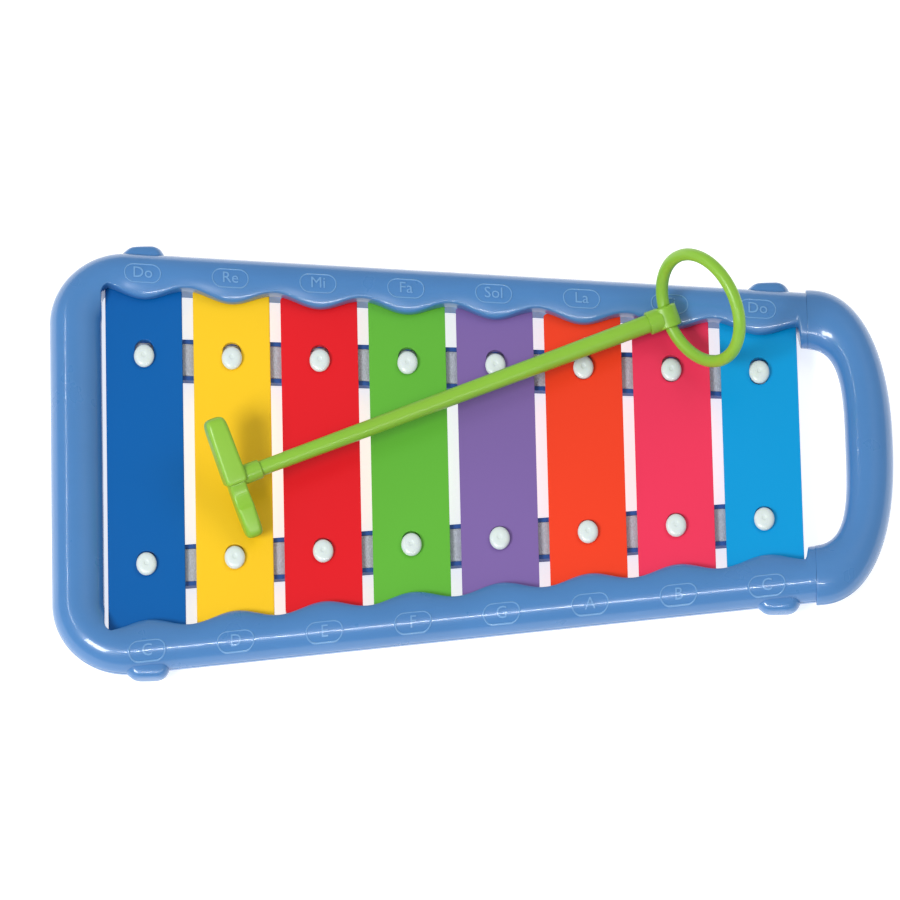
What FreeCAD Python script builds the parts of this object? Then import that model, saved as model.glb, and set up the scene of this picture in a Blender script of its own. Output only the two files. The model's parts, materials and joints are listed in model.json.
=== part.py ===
import FreeCAD, Part
import math
import os

# A toddler's eight-bar glockenspiel: a tubular frame with a carry handle, a ladder-shaped carrier under
# eight steel bars, pegs that hold the bars down, and a mallet that lies across them.
# Millimetres. X runs along the length, from the longest bar to the handle; Y runs to the back; Z is up.
# The origin is on the resting surface, at the middle of the outer box.

V = FreeCAD.Vector
UP = V(0, 0, 1)

# ---- frame tube ----
TUBE_R = 9.35            # outer radius of the tube
FLAT = 0.4               # height taken off the bottom, which gives a flat to rest on
WALL = 2.0
LEFT_X = -156.15         # centre of the left run
SEAM_X = 133.3           # where the handle meets the frame
RAIL_Y = 78.6            # half distance between the rails' centres at the first bar
RAIL_TAPER = 0.0879      # fall of that half distance, per mm along X
CORNER_R = 20.0          # centreline radius of the left corners
TUBE_Z = TUBE_R - FLAT   # height of the tube's axis, and of the parting line
TUBE_TOP = TUBE_Z + TUBE_R

# ---- opening in the frame, where the bars lie ----
OPENING_LEFT = -146.8
OPENING_RIGHT = 129.7
OPENING_IN = 5.8         # distance from the tube's centreline in to the opening's long sides
OPENING_R = 4.7
LEDGE_X = -144.9         # inner face of the ledge along the left run
LEDGE_FOOT = -148.4
LEDGE_HALF = 5.0         # half its height
LEDGE_END_Y = 76.5
RECESS = 2.0             # how much further out the opening's long sides stand under the lips

# ---- handle ----
GRIP_X = 165.5           # outermost point of the handle
HANDLE_OUT_Y = 66.3      # outer half width of the handle at the seam
HANDLE_OUT_N = 2.3       # squareness of the outer curve
HAND_X = 128.5           # centre of the hand opening's curve
HAND_DEEP = 18.3
HAND_Y = 42.3
HAND_N = 3.4
HAND_TURN = 84.6         # direction of the opening's edge where it meets the seam, in degrees
SPIGOT = V(8.0, 11.0, 10.0)
SPIGOT_Y = 55.0

# ---- bars ----
BAR_COUNT = 8
FIRST_BAR_X = -128.3
BAR_PITCH = 34.6
BAR_WIDTH = 30.3
BAR_THICK = 2.3
LONGEST_BAR = 150.5
SEMITONES = (0, 2, 4, 5, 7, 9, 11, 12)
BAR_NOTES = ("c", "d", "e", "f", "g", "a", "b", "c")
BAR_SHIFT = (1.3, 1.3, 1.3, 1.3, 0.6, 0.6, 0.6, 0.6)   # how far each bar has slid back on its pegs
BACK_HOLE_SHIFT = 1.3    # how far the middles of the back holes stand behind their pegs
BAR_FLOAT = 0.4
HOLE_WIDTH = 7.2
FRONT_HOLE = 9.8
BACK_HOLE = 11.4

# ---- carrier, felt and pegs ----
PEG_Y = 44.4
PEG_TAPER = 0.0562
CHANNEL_HALF = 8.7
CHANNEL_WALL = 1.8
CHANNEL_BASE_Z = 5.0
PEG_BASE_Z = 2.5         # underside of the bosses round the pegs
FELT_Z = 6.6
BAR_Z = 8.6
CHANNEL_TOP = BAR_Z - 0.4
CROSS_X = (-128.4, 118.4)
CROSS_HALF = 8.75
CROSS_BASE_Z = 3.0
CROSS_REACH = 0.6        # how far a cross-member reaches past the tube's centreline
SLOT_IN = 7.5            # the slots in the tube that the cross-members pass, from its centreline
SLOT_OUT = 0.8
RISER = V(13.0, 6.0, 5.5)           # the block on each cross-member's end that holds a side plug
PEG_R = 2.0
PEG_HEAD = V(8.0, 9.6, 2.3)
HEAD_Z = BAR_Z + BAR_THICK + BAR_FLOAT + 0.2
PLAY = 0.1               # clearance round shanks, on the diameter

# ---- scalloped lips ----
LIP_Z = HEAD_Z
LIP_THICK = 2.5
LIP_REACH = 10.3         # lip tips, measured in from the tube's centreline
LIP_VALLEY = 5.9
WINDOW_HALF = BAR_WIDTH / 2 + 0.75
WINDOW_IN = 13.0         # the windows that the bars' ends reach into, from the tube's centreline
WINDOW_OUT = -1.2

# ---- side plugs ----
PLUG_LONG = 18.4
PLUG_HIGH = 9.6
PLUG_PROUD = 3.6
PLUG_SHANK_R = 2.5

# ---- screws ----
SCREW_R = 1.45
SCREW_HEAD_R = 2.8
SCREW_HEAD_Z = 0.6
SCREW_SEAT_Z = 2.6
SCREW_TIP_Z = 13.0
BOSS_R = 3.8
LEFT_SCREW_Y = 45.0
GAP_SCREW_OUT = 1.5      # from the rail's centreline outward
SEAM_SCREW_X = SEAM_X + 4.6
GRIP_SCREW_Y = 20.0

# ---- mallet ----
HUB = V(-93.1, -14.4, 25.8)
EYE = V(78.0, 51.6, 21.6)
ROLL_AXIS = V(-0.33, 0.84, 0.42)   # roughly along the head, to the back and up
BLOCK = V(8.8, 27.3, 11.0)         # along the shaft, along the head, across
BLOCK_NEAR = -2.3                  # where the block's near end stands along the head
PAD = V(7.0, 28.0, 9.0)
PAD_NEAR = -24.4
DISH_R = 9.0
DISH_HALF = 5.0                    # half the dish's length, on the pad's top
DISH_AT = -7.3
COLLAR_R = 3.95
COLLAR_LONG = 11.0
SHAFT_R0 = 2.95
SHAFT_R1 = 3.6
SOCKET_START = 3.0
KNUCKLE_WALL = 1.0
RING_R = 22.0
WIRE_R = 2.45
EYE_R = 4.7
EYE_LONG = 8.6
RING_RAISE = 62.0                  # degrees that the ring stands up from the shaft's line
RING_PLAY = 0.3


def rail_y(x):
    return RAIL_Y - RAIL_TAPER * (x - FIRST_BAR_X)


def peg_y(x):
    return PEG_Y - PEG_TAPER * (x - FIRST_BAR_X)


def bar_x(index):
    return FIRST_BAR_X + BAR_PITCH * index


def bar_length(index):
    return LONGEST_BAR * 2 ** (-SEMITONES[index] / 24.0)


def unit(vector):
    return vector * (1.0 / vector.Length)


def box(x0, x1, y0, y1, z0, z1):
    return Part.makeBox(x1 - x0, y1 - y0, z1 - z0, V(x0, y0, z0))


def fuse(shapes):
    if len(shapes) == 1:
        return shapes[0]
    return shapes[0].multiFuse(shapes[1:]).removeSplitter()


def cut_each(shape, tools):
    for tool in tools:
        shape = shape.cut(tool)
    return shape


def prism(face, z0, z1):
    return face.translated(V(0, 0, z0)).extrude(V(0, 0, z1 - z0))


def polygon(points):
    corners = [V(x, y, 0) for x, y in points]
    return Part.Face(Part.makePolygon(corners + corners[:1]))


def corner(before, vertex, after, radius):
    """Start, middle and end of the arc that rounds a corner, its centre and its turn."""
    arrive = unit(vertex - before)
    leave = unit(after - vertex)
    turn = math.acos(max(-1.0, min(1.0, arrive.dot(leave))))
    reach = radius * math.tan(turn / 2)
    start = vertex - arrive * reach
    end = vertex + leave * reach
    centre = vertex + unit(leave - arrive) * (radius / math.cos(turn / 2))
    middle = centre + unit(vertex - centre) * radius
    return start, middle, end, centre, turn


def rounded_polygon(points, radii):
    """A flat face whose corners are rounded."""
    corners = [V(x, y, 0) for x, y in points]
    count = len(corners)
    arcs = [corner(corners[i - 1], corners[i], corners[(i + 1) % count], radii[i]) for i in range(count)]
    edges = []
    for i, (start, middle, end, _centre, _turn) in enumerate(arcs):
        edges.append(Part.Arc(start, middle, end).toShape())
        edges.append(Part.makeLine(end, arcs[(i + 1) % count][0]))
    return Part.Face(Part.Wire(edges))


def stadium(long, wide):
    """A flat face with round ends, long in X."""
    r = wide / 2
    a = long / 2 - r
    edges = [Part.makeLine(V(-a, -r, 0), V(a, -r, 0)),
             Part.Arc(V(a, -r, 0), V(a + r, 0, 0), V(a, r, 0)).toShape(),
             Part.makeLine(V(a, r, 0), V(-a, r, 0)),
             Part.Arc(V(-a, r, 0), V(-a - r, 0, 0), V(-a, -r, 0)).toShape()]
    return Part.Face(Part.Wire(edges))


def stadium_wire(long, wide, y):
    """The outline of a stadium that stands upright at a place along Y."""
    face = stadium(long, wide)
    face.rotate(V(0, 0, 0), V(1, 0, 0), 90)
    face.translate(V(0, y, 0))
    return face.OuterWire


def above(z):
    return box(-200, 200, -120, 120, z, 60)


def below(z):
    return box(-200, 200, -120, 120, -20, z)


def pipe(path, corner_radius, radius):
    """A round solid bar along straight runs with rounded corners between them."""
    solids = []
    here = path[0]
    for i in range(1, len(path)):
        last = i == len(path) - 1
        if last:
            stop = path[i]
        else:
            stop, _middle, end, centre, turn = corner(path[i - 1], path[i], path[i + 1], corner_radius)
        along = unit(stop - here)
        solids.append(Part.makeCylinder(radius, (stop - here).Length, here, along))
        if not last:
            disc = Part.Face(Part.Wire(Part.makeCircle(radius, stop, along)))
            leave = unit(path[i + 1] - path[i])
            sign = 1 if along.cross(leave).z > 0 else -1
            solids.append(disc.revolve(centre, UP * sign, math.degrees(turn)))
            here = end
    return fuse(solids)


def frame_path():
    """The centreline of the frame's back half, from past the seam round to the middle of the left run."""
    far = SEAM_X + 8
    return [V(far, rail_y(far), TUBE_Z), V(LEFT_X, rail_y(LEFT_X), TUBE_Z), V(LEFT_X, 0, TUBE_Z)]


def both_sides(half):
    return fuse([half, half.mirror(V(0, 0, 0), V(0, 1, 0))])


def opening(grow, recess):
    """The opening that the bars lie in, as a face, grown outward and recessed at its long sides."""
    slope = math.sqrt(1 + RAIL_TAPER ** 2)
    left = OPENING_LEFT - grow
    right = OPENING_RIGHT + grow
    y_left = rail_y(left) - (OPENING_IN - grow - recess) * slope
    y_right = rail_y(right) - (OPENING_IN - grow - recess) * slope
    radius = OPENING_R + grow
    return rounded_polygon([(left, -y_left), (right, -y_right), (right, y_right), (left, y_left)],
                           [radius] * 4)


def lip():
    """The scalloped lip of the back rail: a lobe over each bar's end, and a valley at each gap."""
    middle = (LIP_REACH + LIP_VALLEY) / 2
    swing = (LIP_REACH - LIP_VALLEY) / 2
    first = FIRST_BAR_X - BAR_PITCH / 2
    steps = 6
    points = []
    for k in range(BAR_COUNT * steps + 1):
        x = first + BAR_PITCH * k / steps
        reach = middle - swing * math.cos(2 * math.pi * k / steps)
        points.append(V(x, rail_y(x) - reach, 0))
    edge = Part.BSplineCurve()
    edge.interpolate(points)
    root = [V(end.x, rail_y(end.x) - OPENING_IN + WALL / 2, 0) for end in (points[-1], points[0])]
    lines = [Part.makeLine(points[-1], root[0]), Part.makeLine(root[0], root[1]),
             Part.makeLine(root[1], points[0])]
    face = Part.Face(Part.Wire([edge.toShape()] + lines))
    return prism(face, LIP_Z, LIP_Z + LIP_THICK)


def ledge():
    """The rounded ledge on the left run's inner side, which closes most of the gap beside the first bar."""
    rim = box(LEDGE_FOOT, LEDGE_X, 0, LEDGE_END_Y, TUBE_Z - LEDGE_HALF, TUBE_Z + LEDGE_HALF)
    inner = [edge for edge in rim.Edges
             if edge.BoundBox.XMin > LEDGE_X - 0.01 and edge.BoundBox.YLength > LEDGE_END_Y - 0.01]
    return rim.makeFillet(3.2, inner)


def end_wall():
    """The oval wall that closes a rail at the seam, as broad as the handle's end."""
    reach = rail_y(SEAM_X) + TUBE_R
    centre = V(OPENING_RIGHT, (reach + HAND_Y) / 2, TUBE_Z)
    oval = Part.Ellipse(centre + V(0, (reach - HAND_Y) / 2, 0), centre + UP * TUBE_R, centre)
    return Part.Face(Part.Wire(oval.toShape())).extrude(V(SEAM_X - OPENING_RIGHT, 0, 0))


def spigot():
    """The block on a rail's end that the handle slides over."""
    y0 = SPIGOT_Y - SPIGOT.y / 2
    z0 = TUBE_Z - SPIGOT.z / 2
    return box(SEAM_X - 1, SEAM_X + SPIGOT.x, y0, y0 + SPIGOT.y, z0, z0 + SPIGOT.z)


def screw_places():
    """Where the back half's screws stand, as (x, y): in the frame, in the handle's ends, in the grip."""
    gaps = (bar_x(1) + BAR_PITCH / 2, bar_x(5) + BAR_PITCH / 2)
    frame = [(LEFT_X, LEFT_SCREW_Y)] + [(x, rail_y(x) + GAP_SCREW_OUT) for x in gaps]
    return frame, [(SEAM_SCREW_X, SPIGOT_Y)], [(GRIP_X - TUBE_R, GRIP_SCREW_Y)]


def cylinder_z(x, y, radius, z0, z1):
    return Part.makeCylinder(radius, z1 - z0, V(x, y, z0))


def screw_cuts(x, y, tip):
    """The hole for one screw: a counterbore, a clearance hole and a thread hole."""
    return fuse([cylinder_z(x, y, SCREW_HEAD_R + 0.4, -1, SCREW_SEAT_Z),
                 cylinder_z(x, y, SCREW_R + PLAY / 2, 0, tip)])


def frame_shells():
    """The tubular frame, as an upper and a lower shell that meet at the tube's middle."""
    outer = pipe(frame_path(), CORNER_R, TUBE_R)
    inner = pipe(frame_path(), CORNER_R, TUBE_R - WALL)
    core = cut_each(outer, [prism(opening(0, 0), LIP_Z - 1, 40), prism(opening(0, RECESS), -5, LIP_Z)])
    hollow = cut_each(inner, [prism(opening(WALL, 0), -5, 40), prism(opening(WALL, RECESS), -5, LIP_Z + WALL)])
    shell = core.cut(hollow).cut(box(SEAM_X, 200, -120, 120, -20, 60))
    frame_places, handle_places, _grip = screw_places()
    shell = shell.fuse(lip()).fuse(end_wall()).fuse(spigot()).fuse(ledge())
    for x, y in frame_places:
        shell = shell.fuse(cylinder_z(x, y, BOSS_R, 0, TUBE_TOP).common(outer))

    cuts = [below(0)]
    for x in CROSS_X:
        cuts.append(box(x - CROSS_HALF - 0.2, x + CROSS_HALF + 0.2, rail_y(x) - SLOT_IN, rail_y(x) - SLOT_OUT,
                        CROSS_BASE_Z - 0.4, CHANNEL_TOP))
        cuts.append(Part.makeCylinder(PLUG_SHANK_R + PLAY / 2, 8, V(x, rail_y(x) + 5, TUBE_Z), V(0, 1, 0)))
    for i in range(BAR_COUNT):
        x = bar_x(i)
        cuts.append(box(x - WINDOW_HALF, x + WINDOW_HALF, rail_y(x) - WINDOW_IN, rail_y(x) + WINDOW_OUT,
                        CHANNEL_TOP - 0.4, LIP_Z))
    cuts += [screw_cuts(x, y, SCREW_TIP_Z + 0.5) for x, y in frame_places]
    cuts += [cylinder_z(x, y, SCREW_R + PLAY / 2, 0, SCREW_TIP_Z - 0.5) for x, y in handle_places]
    shell = cut_each(shell, cuts)
    return both_sides(shell.common(above(TUBE_Z))), both_sides(shell.common(below(TUBE_Z)))


def squared_point(half_x, half_y, power, normal):
    """The point of a squared ellipse whose outward normal has this direction, in degrees from +X."""
    nx = abs(math.cos(math.radians(normal)))
    ny = abs(math.sin(math.radians(normal)))
    k = power / (power - 1)
    size = ((half_x * nx) ** k + (half_y * ny) ** k) ** (1 / power)
    x = half_x * (half_x * nx) ** (1 / (power - 1)) / size
    y = half_y * (half_y * ny) ** (1 / (power - 1)) / size
    return V(x, y if normal >= 0 else -y, 0)


def half_oval(centre, across, up):
    """The outline of half an oval, from across over up to its far side, and the straight line back."""
    if across.Length >= up.Length:
        start = 0.0
        whole = Part.Ellipse(centre + across, centre + up, centre)
    else:
        start = -math.pi / 2
        whole = Part.Ellipse(centre + up, centre - across, centre)
    bow = Part.ArcOfEllipse(whole, start, start + math.pi).toShape()
    return Part.Wire([bow, Part.makeLine(centre - across, centre + across)])


def handle_half(shrink, up):
    """Half the handle as a loft of half ovals that stand between its outer and its inner curve."""
    turns = (90, 80, 70, 60, 50, 42, 35, 29, 24, 19.5, 15.5, 12, 9, 6, 3, 0)
    wires = []
    for normal in turns + tuple(-turn for turn in reversed(turns[:-1])):
        out = squared_point(GRIP_X - SEAM_X, HANDLE_OUT_Y, HANDLE_OUT_N, normal)
        out.x += SEAM_X
        hand = squared_point(HAND_DEEP, HAND_Y, HAND_N, normal * HAND_TURN / 90)
        hand.x = SEAM_X if abs(normal) == 90 else hand.x + HAND_X
        centre = (out + hand) * 0.5 + V(0, 0, TUBE_Z)
        across = unit(out - hand) * ((out - hand).Length / 2 - shrink)
        wires.append(half_oval(centre, across, V(0, 0, up * (TUBE_R - shrink))))
    return Part.makeLoft(wires, True, True)


def handle_shell(up):
    """The upper shell of the handle (up is 1) or the lower one (up is -1)."""
    outer = handle_half(0, up)
    shell = outer.cut(handle_half(WALL, up))
    _frame, handle_places, grip_places = screw_places()
    handle_top = TUBE_Z - SPIGOT.z / 2 - 0.1
    cuts = [below(0)]
    for side in (1, -1):
        for x, y in grip_places:
            shell = shell.fuse(cylinder_z(x, side * y, BOSS_R, 0, TUBE_TOP).common(outer))
            cuts.append(screw_cuts(x, side * y, SCREW_TIP_Z + 0.5))
        for x, y in handle_places:
            if up < 0:
                shell = shell.fuse(cylinder_z(x, side * y, BOSS_R, 0, handle_top).common(outer))
                cuts.append(screw_cuts(x, side * y, handle_top + 1))
    return cut_each(shell, cuts)


def strip(side, x0, x1, low, high, z0, z1):
    """A straight strip along one of the carrier's rails; low and high are offsets from its middle."""
    points = [(x0, side * (peg_y(x0) + low)), (x1, side * (peg_y(x1) + low)),
              (x1, side * (peg_y(x1) + high)), (x0, side * (peg_y(x0) + high))]
    return prism(polygon(points), z0, z1)


def peg_places(side):
    return [(bar_x(i), side * peg_y(bar_x(i))) for i in range(BAR_COUNT)]


def carrier():
    """The ladder under the bars: two channel rails and two cross-members that reach into the tubes."""
    x0 = CROSS_X[0] - CROSS_HALF
    x1 = CROSS_X[1] + CROSS_HALF
    solids = []
    for side in (-1, 1):
        solids.append(strip(side, x0, x1, -CHANNEL_HALF, CHANNEL_HALF, CHANNEL_BASE_Z, FELT_Z))
        solids.append(strip(side, x0, x1, -CHANNEL_HALF, CHANNEL_WALL - CHANNEL_HALF,
                            CHANNEL_BASE_Z, CHANNEL_TOP))
        solids.append(strip(side, x0, x1, CHANNEL_HALF - CHANNEL_WALL, CHANNEL_HALF,
                            CHANNEL_BASE_Z, CHANNEL_TOP))
        solids += [cylinder_z(x, y, PEG_R + 2.2, PEG_BASE_Z, FELT_Z) for x, y in peg_places(side)]
    for x in CROSS_X:
        reach = rail_y(x) + CROSS_REACH
        solids.append(box(x - CROSS_HALF, x + CROSS_HALF, -reach, reach, CROSS_BASE_Z, FELT_Z))
        for side in (-1, 1):
            corner_point = V(x - RISER.x / 2, side * (reach + RISER.y / 2 - 1.2) - RISER.y / 2,
                             TUBE_Z - RISER.z / 2)
            solids.append(Part.makeBox(RISER.x, RISER.y, RISER.z, corner_point))
    body = fuse(solids)
    cuts = []
    for side in (-1, 1):
        cuts += [cylinder_z(x, y, PEG_R + PLAY / 2, 0, BAR_Z) for x, y in peg_places(side)]
        for x in CROSS_X:
            start = V(x, side * (rail_y(x) - 1), TUBE_Z)
            cuts.append(Part.makeCylinder(PLUG_SHANK_R + PLAY / 2, 9, start, V(0, side, 0)))
        cuts.append(strip(side, x0 - 1, x1 + 1, CHANNEL_WALL - CHANNEL_HALF, CHANNEL_HALF - CHANNEL_WALL,
                          FELT_Z, BAR_Z + 5))
    return cut_each(body, cuts)


def felt(side):
    x0 = CROSS_X[0] - CROSS_HALF + 0.6
    x1 = CROSS_X[1] + CROSS_HALF - 0.6
    half = CHANNEL_HALF - CHANNEL_WALL - 0.1
    holes = [cylinder_z(x, y, PEG_R + 0.3, 0, 20) for x, y in peg_places(side)]
    return strip(side, x0, x1, -half, half, FELT_Z, BAR_Z).cut(Part.makeCompound(holes))


def peg(x, y):
    """One peg: an oval domed head, a round shank and a snap barb under the carrier."""
    radius = PEG_HEAD.x / 2
    ball = (radius ** 2 + PEG_HEAD.z ** 2) / (2 * PEG_HEAD.z)
    dome = Part.makeSphere(ball, V(0, 0, PEG_HEAD.z - ball)).common(box(-9, 9, -9, 9, 0.45, 9))
    rim = Part.makeCylinder(dome.BoundBox.XLength / 2, 0.45)
    head = fuse([dome, rim]).cut(Part.makeSphere(1.2, V(0, 0, PEG_HEAD.z + 0.95)))
    stretch = FreeCAD.Matrix()
    stretch.A22 = PEG_HEAD.y / PEG_HEAD.x
    head = head.transformGeometry(stretch)
    head.translate(V(x, y, HEAD_Z))
    barb = Part.makeCone(PEG_R - 0.5, PEG_R + 0.5, 1.0, V(x, y, PEG_BASE_Z - 1.1))
    return fuse([head, cylinder_z(x, y, PEG_R, PEG_BASE_Z - 0.5, HEAD_Z + 0.2), barb])


def pegs(side):
    return Part.makeCompound([peg(x, y) for x, y in peg_places(side)])


def bar(index):
    """One steel bar, with a slotted hole over each peg."""
    x = bar_x(index)
    half = bar_length(index) / 2
    shift = BAR_SHIFT[index]
    side = BAR_WIDTH / 2
    outline = rounded_polygon([(x - side, shift - half), (x + side, shift - half),
                               (x + side, shift + half), (x - side, shift + half)], [1.6] * 4)
    body = prism(outline, BAR_Z, BAR_Z + BAR_THICK)
    for place, long, offset in ((-1, FRONT_HOLE, shift), (1, BACK_HOLE, BACK_HOLE_SHIFT)):
        hole = stadium(long, HOLE_WIDTH)
        hole.rotate(V(0, 0, 0), UP, 90)
        hole.translate(V(x, place * peg_y(x) + offset, 0))
        body = body.cut(prism(hole, 0, 30))
    return body


def side_plug(x, side):
    """One oval plug: a flared head on the tube's side and a shank into the cross-member's end."""
    surface = rail_y(x) + TUBE_R
    base = stadium_wire(PLUG_LONG, PLUG_HIGH, surface - 3)
    face = stadium_wire(PLUG_LONG - 3.0, PLUG_HIGH - 2.2, surface + PLUG_PROUD)
    head = Part.makeLoft([base, face], True, True)
    rim = [edge for edge in head.Edges if edge.BoundBox.YMin > surface + PLUG_PROUD - 0.01]
    head = head.makeFillet(1.1, rim)
    head.translate(V(x, 0, TUBE_Z))
    start = V(x, surface - 8.0, TUBE_Z)
    shank = Part.makeCylinder(PLUG_SHANK_R, 8.5, start, V(0, 1, 0))
    along = unit(V(1, -RAIL_TAPER, 0))
    tube = Part.makeCylinder(TUBE_R, 60, V(x, rail_y(x), TUBE_Z) - along * 30, along)
    plug = fuse([head.cut(tube), shank])
    return plug if side > 0 else plug.mirror(V(0, 0, 0), V(0, 1, 0))


def screw(x, y, top):
    head = cylinder_z(x, y, SCREW_HEAD_R, SCREW_HEAD_Z, SCREW_SEAT_Z)
    slot = fuse([box(x - 1.8, x + 1.8, y - 0.4, y + 0.4, 0, SCREW_HEAD_Z + 1.0),
                 box(x - 0.4, x + 0.4, y - 1.8, y + 1.8, 0, SCREW_HEAD_Z + 1.0)])
    shank = cylinder_z(x, y, SCREW_R, SCREW_SEAT_Z - 0.1, top - 2)
    tip = Part.makeCone(SCREW_R, 0.4, 2.0, V(x, y, top - 2))
    return fuse([head.cut(slot), shank, tip])


def screws():
    frame_places, handle_places, grip_places = screw_places()
    solids = [screw(x, y, SCREW_TIP_Z) for x, y in frame_places + grip_places]
    solids += [screw(x, y, SCREW_TIP_Z - 1.5) for x, y in handle_places]
    half = Part.makeCompound(solids)
    return Part.makeCompound(solids + half.mirror(V(0, 0, 0), V(0, 1, 0)).Solids)


# ---- mallet: its own axes are along the shaft, along the head, and across both ----
SHAFT_DIR = unit(EYE - HUB)
HEAD_DIR = unit(ROLL_AXIS - SHAFT_DIR * ROLL_AXIS.dot(SHAFT_DIR))
ACROSS_DIR = SHAFT_DIR.cross(HEAD_DIR)
MALLET_LONG = (EYE - HUB).Length
SHAFT_END = MALLET_LONG - EYE_R - 3.2


def place_mallet(shape):
    """Move a shape from the mallet's own axes to where the mallet lies."""
    matrix = FreeCAD.Matrix(SHAFT_DIR.x, HEAD_DIR.x, ACROSS_DIR.x, HUB.x,
                            SHAFT_DIR.y, HEAD_DIR.y, ACROSS_DIR.y, HUB.y,
                            SHAFT_DIR.z, HEAD_DIR.z, ACROSS_DIR.z, HUB.z,
                            0, 0, 0, 1)
    placed = shape.copy()
    placed.Placement = FreeCAD.Placement(matrix)
    return placed


def rounded_box(size, low_y, radius):
    solid = box(-size.x / 2, size.x / 2, low_y, low_y + size.y, -size.z / 2, size.z / 2)
    return solid.makeFillet(radius, solid.Edges)


def mallet_head():
    """A T-shaped head: a thick striking block, a slimmer dished arm and a collar for the shaft."""
    block = rounded_box(BLOCK, BLOCK_NEAR, 2.6)
    pad = rounded_box(PAD, PAD_NEAR, 2.2)
    dish_up = PAD.z / 2 + math.sqrt(DISH_R ** 2 - DISH_HALF ** 2)
    dish = Part.makeCylinder(DISH_R, 20, V(-10, DISH_AT, dish_up), V(1, 0, 0))
    collar = Part.makeCylinder(COLLAR_R, COLLAR_LONG, V(0, 0, 0), V(1, 0, 0))
    growth = (SHAFT_R1 - SHAFT_R0) / (SHAFT_END - SOCKET_START)
    deep = COLLAR_LONG + 1 - SOCKET_START
    socket = Part.makeCone(SHAFT_R0, SHAFT_R0 + growth * deep, deep, V(SOCKET_START, 0, 0), V(1, 0, 0))
    return place_mallet(fuse([block, pad.cut(dish), collar]).cut(socket))


def mallet_shaft():
    rod = Part.makeCone(SHAFT_R0, SHAFT_R1, SHAFT_END - SOCKET_START, V(SOCKET_START, 0, 0), V(1, 0, 0))
    return place_mallet(rod)


def mallet_eye():
    """The knuckle at the shaft's end: a collar and a round eye that the ring passes through."""
    collar = Part.makeCylinder(SHAFT_R1 + KNUCKLE_WALL, EYE_R + KNUCKLE_WALL, V(SHAFT_END, 0, 0), V(1, 0, 0))
    barrel = Part.makeCylinder(EYE_R, EYE_LONG, V(MALLET_LONG, -EYE_LONG / 2, 0), V(0, 1, 0))
    barrel = barrel.makeFillet(0.7, [edge for edge in barrel.Edges if edge.Length > 20])
    bow = EYE_LONG ** 2 / (8 * RING_R)
    bore = Part.makeCylinder(WIRE_R + RING_PLAY + bow, EYE_LONG + 2, V(MALLET_LONG, -EYE_LONG / 2 - 1, 0),
                             V(0, 1, 0))
    return place_mallet(fuse([collar, barrel]).cut(bore))


def mallet_ring():
    """The ring, standing up from the shaft's line; its plane holds the head's direction."""
    spoke = V(math.cos(math.radians(RING_RAISE)), 0, math.sin(math.radians(RING_RAISE)))
    centre = V(MALLET_LONG, 0, 0) + spoke * RING_R
    return place_mallet(Part.makeTorus(RING_R, WIRE_R, centre, spoke.cross(V(0, 1, 0))))


def save(name, shape):
    shape.exportStep(os.path.join("parts", name + ".step"))
    bounds = shape.BoundBox
    print(name, len(shape.Solids), "solid(s)", shape.isValid(), round(shape.Volume), "mm3",
          [round(v, 1) for v in (bounds.XMin, bounds.YMin, bounds.ZMin, bounds.XMax, bounds.YMax, bounds.ZMax)])


def main():
    os.makedirs("parts", exist_ok=True)
    frame_upper, frame_lower = frame_shells()
    save("frame_upper", frame_upper)
    save("frame_lower", frame_lower)
    save("handle_upper", handle_shell(1))
    save("handle_lower", handle_shell(-1))
    save("bar_carrier", carrier())
    for name, side in (("front", -1), ("back", 1)):
        save("felt_" + name, felt(side))
        save("pegs_" + name, pegs(side))
    for i, note in enumerate(BAR_NOTES):
        save("bar_%d_%s" % (i + 1, note), bar(i))
    for end, x in zip(("left", "right"), CROSS_X):
        for name, side in (("front", -1), ("back", 1)):
            save("side_plug_%s_%s" % (end, name), side_plug(x, side))
    save("frame_screws", screws())
    save("mallet_head", mallet_head())
    save("mallet_shaft", mallet_shaft())
    save("mallet_eye", mallet_eye())
    save("mallet_ring", mallet_ring())


if __name__ == "__main__":
    main()
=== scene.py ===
import json
import math

import bmesh
import bpy
from mathutils import Matrix, Vector, noise


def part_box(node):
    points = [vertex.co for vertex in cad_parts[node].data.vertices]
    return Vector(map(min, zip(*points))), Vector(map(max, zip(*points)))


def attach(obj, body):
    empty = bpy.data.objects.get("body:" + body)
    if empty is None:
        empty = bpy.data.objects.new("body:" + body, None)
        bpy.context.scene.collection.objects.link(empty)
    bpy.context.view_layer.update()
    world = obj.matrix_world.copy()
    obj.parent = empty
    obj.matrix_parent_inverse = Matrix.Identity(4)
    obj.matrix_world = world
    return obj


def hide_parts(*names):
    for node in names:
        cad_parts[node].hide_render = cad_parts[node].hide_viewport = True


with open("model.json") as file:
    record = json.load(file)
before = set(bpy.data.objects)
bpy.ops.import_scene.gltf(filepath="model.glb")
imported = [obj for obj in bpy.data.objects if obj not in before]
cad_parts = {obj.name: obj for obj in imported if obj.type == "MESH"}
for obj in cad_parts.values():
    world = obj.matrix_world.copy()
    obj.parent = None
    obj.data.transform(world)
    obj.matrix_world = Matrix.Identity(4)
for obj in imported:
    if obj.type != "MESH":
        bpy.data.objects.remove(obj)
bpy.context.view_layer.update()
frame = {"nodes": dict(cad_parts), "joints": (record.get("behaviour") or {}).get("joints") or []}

# A toddler's glockenspiel. Lengths here are millimetres, in the part's frame: X along the length, Y to the
# back, Z up from the resting surface. Meshes are scaled to metres when they are made.
MM = 0.001


def node_box(node):
    """A CAD node's lowest and highest corners."""
    lo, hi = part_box(node)
    return lo / MM, hi / MM


def middle(node):
    lo, hi = node_box(node)
    return (lo + hi) / 2


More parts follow.
